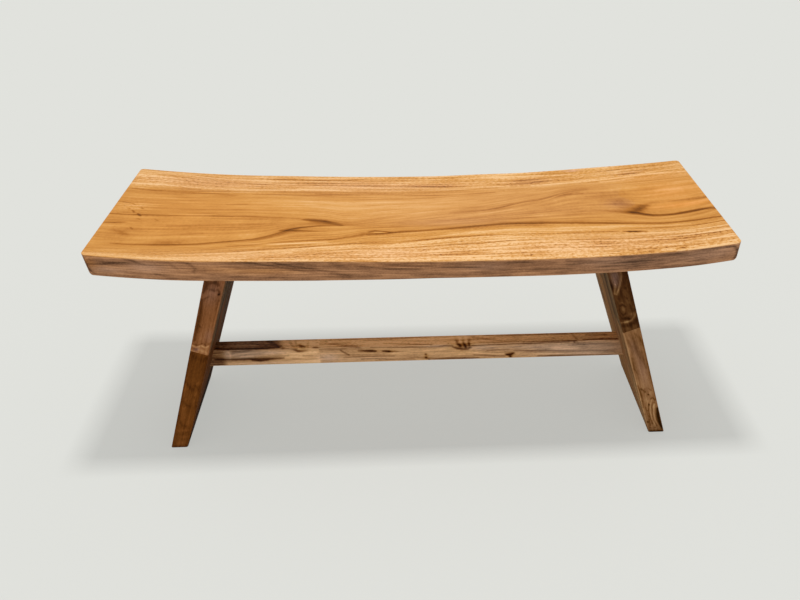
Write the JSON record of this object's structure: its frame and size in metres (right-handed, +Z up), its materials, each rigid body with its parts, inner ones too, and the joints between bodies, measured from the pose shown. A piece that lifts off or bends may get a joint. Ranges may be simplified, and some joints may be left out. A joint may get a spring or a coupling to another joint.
{
  "type": "bench",
  "caption": "Teak bench: a dished seat slab on splayed leg panels glued up from blocks, joined by one stretcher.",
  "frame": {"origin": "on the floor under the middle of the bench", "axes": "+X along the seat to the right as seen from the front, +Y from front to back, +Z up"},
  "size_m": [1.0497, 0.352, 0.4598],
  "materials": {
    "seat_teak": "satin oiled, flat-sawn cathedral grain",
    "leg_teak_russet": "satin oiled",
    "leg_teak_umber": "satin oiled",
    "leg_teak_cocoa": "satin oiled",
    "leg_teak_tan": "satin oiled",
    "stretcher_teak": "satin oiled, straight grain",
    "dowel_beech": "plain turned wood"
  },
  "bodies": {
    "root": {"seat_slab": "seat_teak", "left_leg_front_upper_block": "leg_teak_russet", "left_leg_front_lower_block": "leg_teak_umber", "left_leg_mid_front_upper_block": "leg_teak_tan", "left_leg_mid_front_lower_block": "leg_teak_russet", "left_leg_mid_rear_upper_block": "leg_teak_umber", "left_leg_mid_rear_lower_block": "leg_teak_tan", "left_leg_rear_upper_block": "leg_teak_tan", "left_leg_rear_lower_block": "leg_teak_russet", "left_seat_dowels": "dowel_beech", "left_block_dowels": "dowel_beech", "right_leg_front_upper_block": "leg_teak_cocoa", "right_leg_front_lower_block": "leg_teak_tan", "right_leg_mid_front_upper_block": "leg_teak_umber", "right_leg_mid_front_lower_block": "leg_teak_russet", "right_leg_mid_rear_upper_block": "leg_teak_tan", "right_leg_mid_rear_lower_block": "leg_teak_umber", "right_leg_rear_upper_block": "leg_teak_russet", "right_leg_rear_lower_block": "leg_teak_tan", "right_seat_dowels": "dowel_beech", "right_block_dowels": "dowel_beech", "stretcher_left_block": "stretcher_teak", "stretcher_right_block": "stretcher_teak", "stretcher_splice_dowels": "dowel_beech"}
  },
  "joints": []
}
